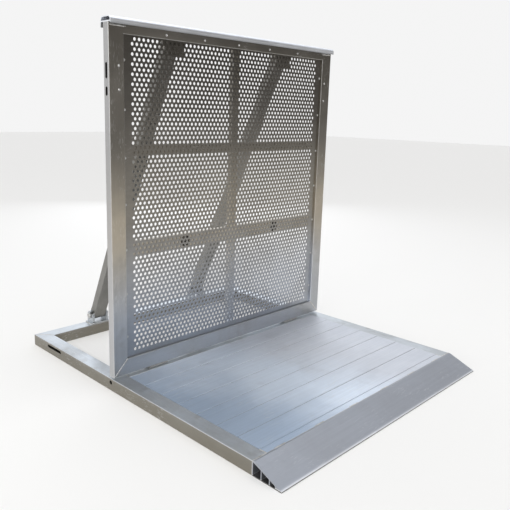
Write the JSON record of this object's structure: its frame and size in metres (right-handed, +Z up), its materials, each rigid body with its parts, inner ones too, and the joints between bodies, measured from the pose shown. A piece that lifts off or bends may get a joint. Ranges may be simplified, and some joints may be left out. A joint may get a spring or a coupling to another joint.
{
  "type": "crowd control barrier",
  "caption": "Folding crowd control barrier: perforated metal upright hinged on a plank deck with a front ramp, held by two rear struts.",
  "frame": {"origin": "on the floor, under the middle of the bounding box", "axes": "+Z up, +Y towards the rear (the side of the struts), +X along the fence line to the right as the crowd sees it"},
  "size_m": [1, 1.2, 1.1],
  "materials": {
    "frame": "mill finish aluminium tube, brushed along its length, with welds and scuffs",
    "sheet": "rolled perforated aluminium sheet, satin",
    "deck": "extruded aluminium planks, fine ribs, scuffed",
    "ramp": "extruded aluminium, satin",
    "handrail": "extruded aluminium, satin",
    "steel": "zinc plated steel fasteners",
    "rubber": "black rubber pad"
  },
  "bodies": {
    "base": {"side_tube_left": "frame", "side_tube_right": "frame", "rear_crossbar": "frame", "hinge_crossbar": "frame", "front_crossbar": "frame", "deck_plank_1": "deck", "deck_plank_2": "deck", "deck_plank_3": "deck", "deck_plank_4": "deck", "deck_plank_5": "deck", "deck_plank_6": "deck", "deck_plank_7": "deck", "front_ramp": "ramp", "deck_ledger_left": "frame", "foot_bracket_left": "frame", "hinge_base_leaf_left": "steel", "deck_ledger_right": "frame", "foot_bracket_right": "frame", "hinge_base_leaf_right": "steel", "hinge_pins": "steel"},
    "upright": {"bottom_rail": "frame", "top_rail": "frame", "mid_rail": "frame", "lower_rail": "frame", "perforated_sheet": "sheet", "handrail": "handrail", "centre_stile_lower": "frame", "centre_stile_middle": "frame", "centre_stile_upper": "frame", "post_left": "frame", "sheet_bead_left": "frame", "hinge_frame_leaf_left": "steel", "strut_bracket_left": "frame", "pivot_bolt_left": "steel", "strut_rest_left": "frame", "post_right": "frame", "sheet_bead_right": "frame", "hinge_frame_leaf_right": "steel", "strut_bracket_right": "frame", "pivot_bolt_right": "steel", "strut_rest_right": "frame", "pivot_nuts": "steel", "strut_rest_pads": "rubber", "strut_rest_bolts": "steel", "sheet_rivets": "steel", "handrail_screws": "steel", "post_rivets": "steel"},
    "strut_left": {"strut_tube_left": "frame", "strut_top_eye_left": "frame", "strut_foot_eye_left": "frame", "foot_bolt_left": "steel", "foot_nut_left": "steel"},
    "strut_right": {"strut_tube_right": "frame", "strut_top_eye_right": "frame", "strut_foot_eye_right": "frame", "foot_bolt_right": "steel", "foot_nut_right": "steel"}
  },
  "joints": [
    {"name": "upright_fold", "type": "hinge", "parent": "base", "child": "upright", "pos_m": [0, 0.0825, 0.0435], "axis": [1, 0, 0], "range_deg": [0, 90]},
    {"name": "strut_left_fold", "type": "hinge", "parent": "upright", "child": "strut_left", "pos_m": [-0.25, 0.13, 1.045], "axis": [1, 0, 0], "range_deg": [-24.53, 0]},
    {"name": "strut_right_fold", "type": "hinge", "parent": "upright", "child": "strut_right", "pos_m": [0.25, 0.13, 1.045], "axis": [1, 0, 0], "range_deg": [-24.53, 0]}
  ],
  "couplings": [
    {"joint": "strut_left_fold", "follows": "upright_fold", "ratio": -0.27258},
    {"joint": "strut_right_fold", "follows": "upright_fold", "ratio": -0.27258}
  ]
}
